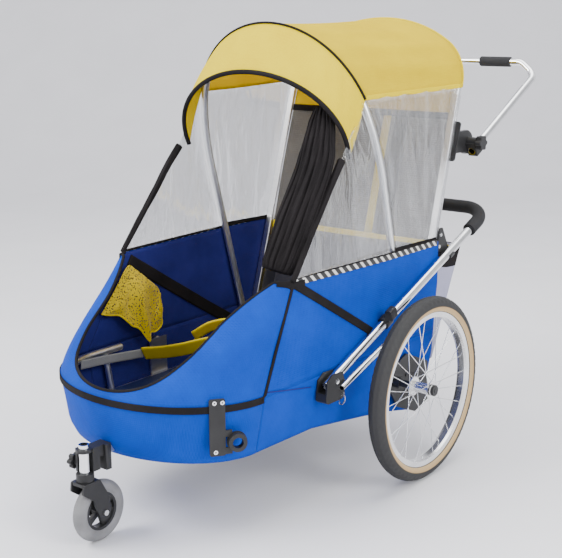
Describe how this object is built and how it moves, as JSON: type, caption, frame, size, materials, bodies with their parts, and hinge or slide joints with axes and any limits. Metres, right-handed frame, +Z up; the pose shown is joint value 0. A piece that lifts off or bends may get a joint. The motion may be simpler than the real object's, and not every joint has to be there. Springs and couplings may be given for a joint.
{
  "type": "child bicycle trailer",
  "caption": "Child bicycle trailer with a fabric tub, folding hoop frame, canopy, clear windows, spoked wheels, front caster and push handle.",
  "frame": {"origin": "on the ground, under the middle of the overall bounding box", "axes": "+Z up; +Y from the nose to the push handle; +X to the trailer's left side"},
  "size_m": [0.8932, 1.6775, 1.2116],
  "materials": {
    "tub_fabric": "woven nylon",
    "yellow_fabric": "woven nylon",
    "canopy_fabric": "thin coated nylon",
    "black_fabric": "woven",
    "grey_webbing": "webbing",
    "rear_mesh": "mesh",
    "seat_padding": "padded",
    "clear_film": "clear soft film",
    "aluminium_tube": "polished",
    "aluminium_bar": "satin",
    "rim_alloy": "polished",
    "chrome": "polished",
    "steel": "plain",
    "black_metal": "satin black",
    "black_plastic": "matt",
    "foam_grip": "closed-cell foam",
    "tyre_rubber": "matt",
    "caster_rubber": "smooth",
    "floor_panel": "smooth"
  },
  "bodies": {
    "chassis": {"floor_frame": "aluminium_bar", "floor_board": "floor_panel", "nose_frame": "aluminium_tube", "hinge_blocks": "black_plastic", "pivot_pins": "steel", "axle_brackets": "black_metal", "bar_blocks": "black_plastic", "left_axle": "black_metal", "right_axle": "black_metal", "nose_panel": "tub_fabric", "left_side_panel": "tub_fabric", "right_side_panel": "tub_fabric", "seat_cushion": "seat_padding", "harness_strap": "yellow_fabric", "hitch_bracket": "black_plastic", "hitch_rivets": "chrome", "caster_socket": "black_plastic"},
    "rear_frame": {"uprights": "aluminium_bar", "rear_bow": "aluminium_tube", "bar_clips": "black_plastic", "handle_hinges": "black_plastic", "frame_bolts": "steel", "rear_panel": "rear_mesh", "seat_back": "seat_padding", "rear_bag": "yellow_fabric", "roof_canopy": "canopy_fabric", "side_windows": "clear_film"},
    "front_hoop": {"front_hoop": "aluminium_tube", "visor": "yellow_fabric", "front_windows": "clear_film", "rolled_cover": "black_fabric"},
    "u_bar": {"u_bar": "chrome", "bar_foam": "foam_grip", "brace_tubes": "chrome", "mid_clamps": "black_plastic"},
    "push_handle": {"handle_bar": "chrome", "handle_grips": "foam_grip", "handle_clamps": "black_plastic"},
    "left_handle_knob": {"left_handle_knob": "black_plastic"},
    "right_handle_knob": {"right_handle_knob": "black_plastic"},
    "left_wheel": {"left_tyre": "tyre_rubber", "left_rim": "rim_alloy", "left_spokes": "chrome", "left_hub": "rim_alloy"},
    "right_wheel": {"right_tyre": "tyre_rubber", "right_rim": "rim_alloy", "right_spokes": "chrome", "right_hub": "rim_alloy"},
    "left_release_button": {"left_release_button": "black_plastic"},
    "right_release_button": {"right_release_button": "black_plastic"},
    "left_ring_pin": {"left_ring_pin": "chrome"},
    "right_ring_pin": {"right_ring_pin": "chrome"},
    "caster_post": {"caster_stem": "chrome", "caster_collar": "black_plastic", "caster_kingpin": "steel"},
    "caster_swivel": {"caster_fork": "black_metal", "caster_axle": "steel"},
    "caster_wheel": {"caster_tyre": "caster_rubber", "caster_hub": "black_plastic"},
    "caster_knob": {"caster_knob": "black_plastic"}
  },
  "joints": [
    {"name": "rear_fold", "type": "hinge", "parent": "chassis", "child": "rear_frame", "pos_m": [0, 0.1755, 0.322], "axis": [1, 0, 0], "range_deg": [0, 96], "deforming": ["roof_canopy", "side_windows", "rear_panel", "seat_back", "rear_bag", "visor", "front_windows", "rolled_cover", "nose_panel", "left_side_panel", "right_side_panel", "seat_cushion", "harness_strap"]},
    {"name": "hoop_fold", "type": "hinge", "parent": "chassis", "child": "front_hoop", "pos_m": [0, 0.1375, 0.272], "axis": [1, 0, 0], "range_deg": [0, 63.2]},
    {"name": "bar_fold", "type": "hinge", "parent": "chassis", "child": "u_bar", "pos_m": [0, -0.2615, 0.3345], "axis": [1, 0, 0], "range_deg": [-19.1, 0]},
    {"name": "handle_tilt", "type": "hinge", "parent": "rear_frame", "child": "push_handle", "pos_m": [0, 0.4345, 0.863], "axis": [1, 0, 0], "range_deg": [-60, 75]},
    {"name": "left_handle_knob_turn", "type": "hinge", "parent": "rear_frame", "child": "left_handle_knob", "pos_m": [0.34, 0.4345, 0.863], "axis": [1, 0, 0], "continuous": true},
    {"name": "right_handle_knob_turn", "type": "hinge", "parent": "rear_frame", "child": "right_handle_knob", "pos_m": [-0.34, 0.4345, 0.863], "axis": [-1, 0, 0], "continuous": true},
    {"name": "left_wheel_spin", "type": "hinge", "parent": "chassis", "child": "left_wheel", "pos_m": [0.412, 0.0385, 0.25], "axis": [1, 0, 0], "continuous": true},
    {"name": "right_wheel_spin", "type": "hinge", "parent": "chassis", "child": "right_wheel", "pos_m": [-0.412, 0.0385, 0.25], "axis": [1, 0, 0], "continuous": true},
    {"name": "left_release_press", "type": "slide", "parent": "chassis", "child": "left_release_button", "axis": [-1, 0, 0], "range_m": [0, 0.0028], "stiffness_N_per_m": 600, "springref_m": -0.002},
    {"name": "right_release_press", "type": "slide", "parent": "chassis", "child": "right_release_button", "axis": [1, 0, 0], "range_m": [0, 0.0028], "stiffness_N_per_m": 600, "springref_m": -0.002},
    {"name": "left_ring_pin_pull", "type": "slide", "parent": "chassis", "child": "left_ring_pin", "axis": [1, 0, 0], "range_m": [0, 0.03]},
    {"name": "right_ring_pin_pull", "type": "slide", "parent": "chassis", "child": "right_ring_pin", "axis": [-1, 0, 0], "range_m": [0, 0.03]},
    {"name": "caster_height", "type": "slide", "parent": "chassis", "child": "caster_post", "axis": [0, 0, 1], "range_m": [-0.025, 0]},
    {"name": "caster_swivel_turn", "type": "hinge", "parent": "caster_post", "child": "caster_swivel", "pos_m": [0, -0.7995, 0.16], "axis": [0, 0, 1], "continuous": true},
    {"name": "caster_spin", "type": "hinge", "parent": "caster_swivel", "child": "caster_wheel", "pos_m": [0, -0.7625, 0.076], "axis": [1, 0, 0], "continuous": true},
    {"name": "caster_knob_turn", "type": "hinge", "parent": "chassis", "child": "caster_knob", "pos_m": [-0.03, -0.7995, 0.206], "axis": [1, 0, 0], "continuous": true}
  ],
  "couplings": [
    {"joint": "hoop_fold", "follows": "rear_fold", "ratio": 0.657},
    {"joint": "bar_fold", "follows": "rear_fold", "ratio": -0.198}
  ]
}
